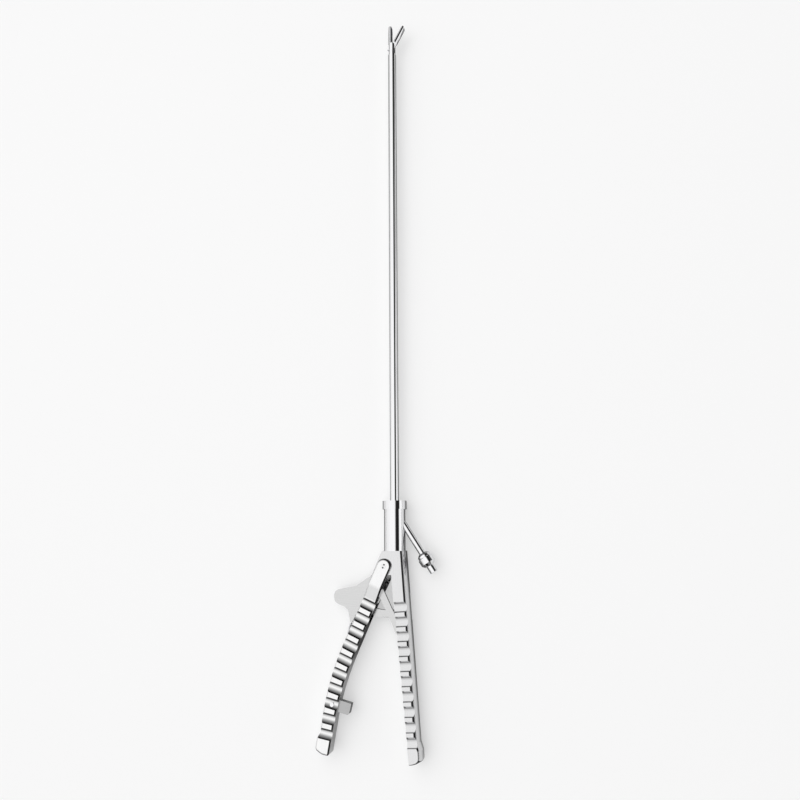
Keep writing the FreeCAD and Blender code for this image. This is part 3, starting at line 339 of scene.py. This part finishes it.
def make_world():
    """White studio surround with a dark flag up on the right and dim strips low at both ends."""
    bpy.context.scene.view_settings.view_transform = "Standard"
    world = bpy.data.worlds.new("studio")
    world.use_nodes = True
    bpy.context.scene.world = world
    graph = Graph(world.node_tree)
    output = graph.add("ShaderNodeOutputWorld")
    back = graph.add("ShaderNodeBackground")
    east, north, up = graph.parts(graph.add("ShaderNodeTexCoord").outputs["Generated"])
    light = graph.vector("MULTIPLY", graph.sweep(east, up, ACROSS), graph.sweep(north, up, ALONG))
    low = graph.ramp(up, CORNER_HEIGHTS)
    corner = graph.vector("MULTIPLY", low, graph.sweep(east, north, CORNER_WIDTH))
    light = graph.vector("MULTIPLY", light, graph.ramp(corner, CORNER_LEAVES))
    path = graph.add("ShaderNodeLightPath")
    backdrop = (BACKDROP_SHADE, BACKDROP_SHADE, BACKDROP_SHADE, 1.0)
    graph.link(graph.mix(path.outputs["Is Camera Ray"], light, backdrop), back.inputs["Color"])
    back.inputs["Strength"].default_value = SURROUND_STRENGTH
    graph.link(back.outputs[0], output.inputs["Surface"])


def make_key_light():
    data = bpy.data.lights.new("key", "AREA")
    data.shape = "RECTANGLE"
    data.size = KEY_SIZE
    data.size_y = KEY_SIZE
    data.energy = KEY_POWER
    light = add_object("key", data)
    light.location = KEY_PLACE
    light.visible_glossy = False
    light.rotation_mode = "QUATERNION"
    light.rotation_quaternion = (KEY_TARGET - KEY_PLACE).to_track_quat("-Z", "Y")


def floor_white():
    """Pale floor; reflections see its painted reflection bands instead of its own shade."""
    material, graph, shader = new_material("floor_white")
    shader.inputs["Roughness"].default_value = FLOOR_ROUGHNESS
    shader.inputs["Emission Color"].default_value = WHITE
    path = graph.add("ShaderNodeLightPath")
    glow = graph.math("MULTIPLY", path.outputs["Is Camera Ray"], FLOOR_GLOW)
    graph.link(glow, shader.inputs["Emission Strength"])
    place = graph.add("ShaderNodeNewGeometry").outputs["Position"]
    # Painted reflection: the floor's colour for reflected rays, dark and light by place across the shaft.
    reflected_bands = graph.ramp(graph.parts(place)[0], REFLECTED_FLOOR_BANDS, (-REFLECTED_BAND_REACH, REFLECTED_BAND_REACH))
    shade = graph.math("SUBTRACT", FLOOR_SHADE, glow)
    graph.link(graph.mix(path.outputs["Is Glossy Ray"], shade, reflected_bands), shader.inputs["Base Color"])
    return material


def make_floor(low):
    """A wide floor just under the part's lowest point."""
    mesh = bpy.data.meshes.new("floor")
    half = FLOOR_SIZE / 2
    corners = [(-half, -half, 0), (half, -half, 0), (half, half, 0), (-half, half, 0)]
    mesh.from_pydata(corners, [], [(0, 1, 2, 3)])
    mesh.materials.append(floor_white())
    floor = add_object("floor", mesh)
    floor.location = (0, 0, low - FLOOR_GAP)
    floor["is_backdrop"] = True


def cross_cut(graph, place):
    """Height of two crossing sets of fine cuts, as on the gripping faces of the jaws."""
    heights = []
    for turn in (CUT_TURN, -CUT_TURN):
        spin = graph.add("ShaderNodeMapping")
        spin.inputs["Rotation"].default_value = (0, turn, turn)
        graph.link(place, spin.inputs["Vector"])
        wave = graph.add("ShaderNodeTexWave")
        wave.inputs["Scale"].default_value = CUT_SCALE
        graph.link(spin.outputs[0], wave.inputs["Vector"])
        heights.append(wave.outputs["Fac"])
    return graph.math("MINIMUM", *heights)


def metal(name, finish):
    """Metal with fine streaks along one axis, faint handling marks in its gloss, and its masks' painted
    shade and painted reflection in its colour.
    """
    material, graph, shader = new_material(name)
    shader.inputs["Metallic"].default_value = 1.0
    coords = graph.add("ShaderNodeTexCoord")
    place = coords.outputs["Object"]
    stretch = graph.add("ShaderNodeMapping")
    stretch.inputs["Scale"].default_value = finish.axis
    graph.link(place, stretch.inputs["Vector"])
    streaks = graph.noise(stretch.outputs[0], STREAK_SCALE, STREAK_DETAIL)
    smudges = graph.noise(place, SMUDGE_SCALE, SMUDGE_DETAIL)

    uneven = graph.math(
        "ADD",
        graph.math("MULTIPLY", streaks, finish.streak),
        graph.math("MULTIPLY", smudges, finish.smudge),
    )
    graph.link(graph.math("ADD", uneven, finish.roughness), shader.inputs["Roughness"])

    darker = tuple(STREAK_DARKENING * part for part in finish.colour)
    colour = graph.ramp(streaks, list(zip(STREAK_ENDS, (darker, finish.colour))))
    # Painted shade and painted reflection: each mask darkens the colour by the piece's own normal or
    # place.
    for mask in finish.masks:
        measure = graph.vector("DOT_PRODUCT", coords.outputs[mask.fact], mask.direction)
        colour = graph.vector("MULTIPLY", colour, graph.ramp(measure, mask.stops, mask.ends))
    graph.link(colour, shader.inputs["Base Color"])

    bump = graph.add("ShaderNodeBump")
    bump.inputs["Strength"].default_value = BRUSH_STRENGTH
    bump.inputs["Distance"].default_value = CUT_DEPTH if finish.cut else BRUSH_DEPTH
    graph.link(cross_cut(graph, place) if finish.cut else streaks, bump.inputs["Height"])
    graph.link(bump.outputs["Normal"], shader.inputs["Normal"])
    return material


def dress_nodes(frame):
    """Give every carried-over piece its finish."""
    metals = {name: metal(name, finish) for name, finish in FINISHES.items()}
    slots = {item["node"]: item["material_slot"] for item in frame["record"]["subparts"]}
    for node, thing in frame["nodes"].items():
        thing.data.materials.clear()
        thing.data.materials.append(metals[SPECIAL_FINISH.get(node, slots[node])])


def make_live_spring(frame):
    """A copy of the return spring, attached to the frame in place of the original, which is hidden."""
    still = frame["nodes"]["return_spring"]
    spring = still.copy()
    spring.data = still.data.copy()
    spring.name = "return_spring_coil"
    spring.parent = None
    spring.matrix_world = still.matrix_world.copy()
    bpy.context.scene.collection.objects.link(spring)
    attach(spring, "frame")
    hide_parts("return_spring")
    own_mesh(spring)


frame, sizes = load_frame()
make_camera()
make_world()
make_floor(sizes["cad"][0][2])
make_key_light()
dress_nodes(frame)
make_live_spring(frame)

low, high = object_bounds()
sizes["visual"] = [list(low), list(high)]
